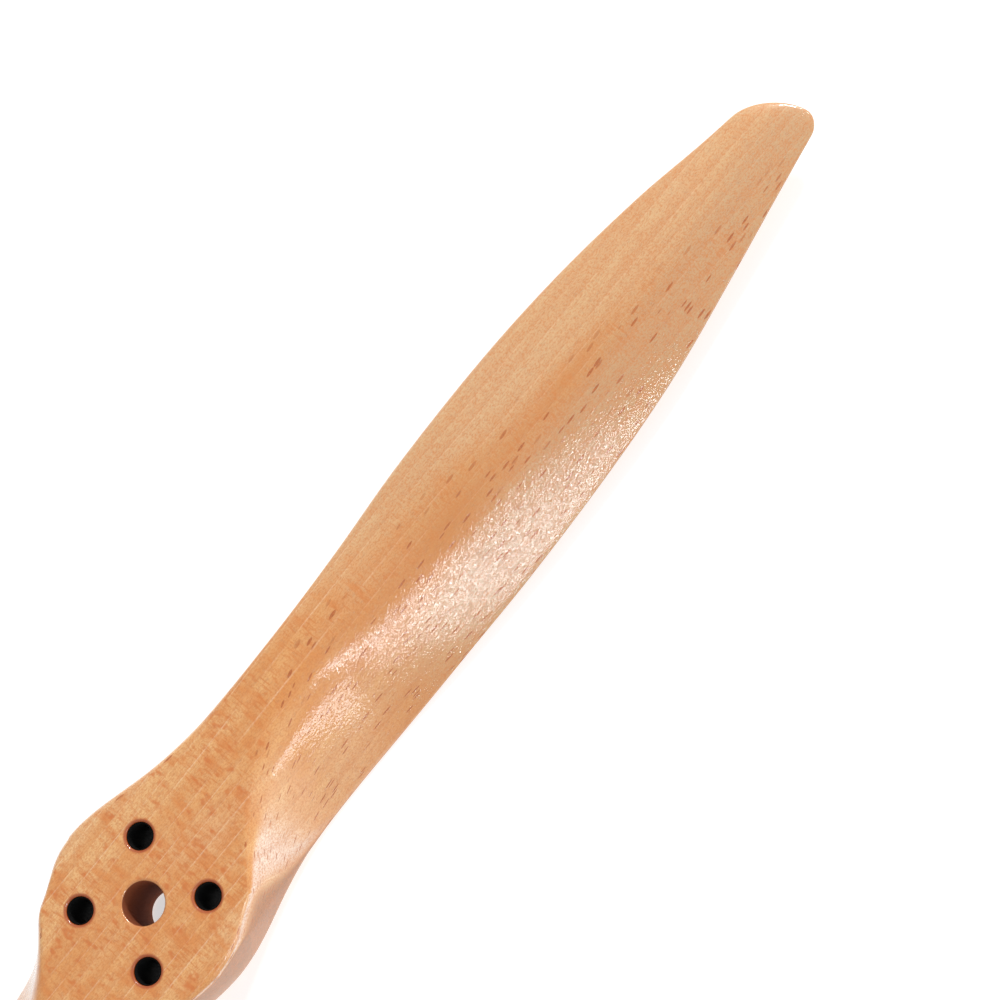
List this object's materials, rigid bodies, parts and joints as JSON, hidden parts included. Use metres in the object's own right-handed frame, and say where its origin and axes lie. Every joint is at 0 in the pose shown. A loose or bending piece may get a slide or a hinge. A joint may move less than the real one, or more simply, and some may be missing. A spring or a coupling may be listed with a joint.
{
  "type": "model aircraft propeller",
  "caption": "Carved wooden fixed-pitch propeller with opposed twisted blades, a flat-faced hub, a centre bore and lined bolt holes on a square pattern.",
  "frame": {"origin": "where the spin axis meets the rear face of the hub", "axes": "+Z along the spin axis to the front face, the way the thrust points; +X along blade one; +Y towards blade one's leading edge"},
  "size_m": [0.4572, 0.0478, 0.02],
  "materials": {
    "lacquered_beech": "clear gloss lacquer over fine-grained beech",
    "black_liner": "matt black"
  },
  "bodies": {
    "root": {"propeller_body": "lacquered_beech", "bolt_hole_liner_1": "black_liner", "bolt_hole_liner_2": "black_liner", "bolt_hole_liner_3": "black_liner", "bolt_hole_liner_4": "black_liner"}
  },
  "joints": []
}
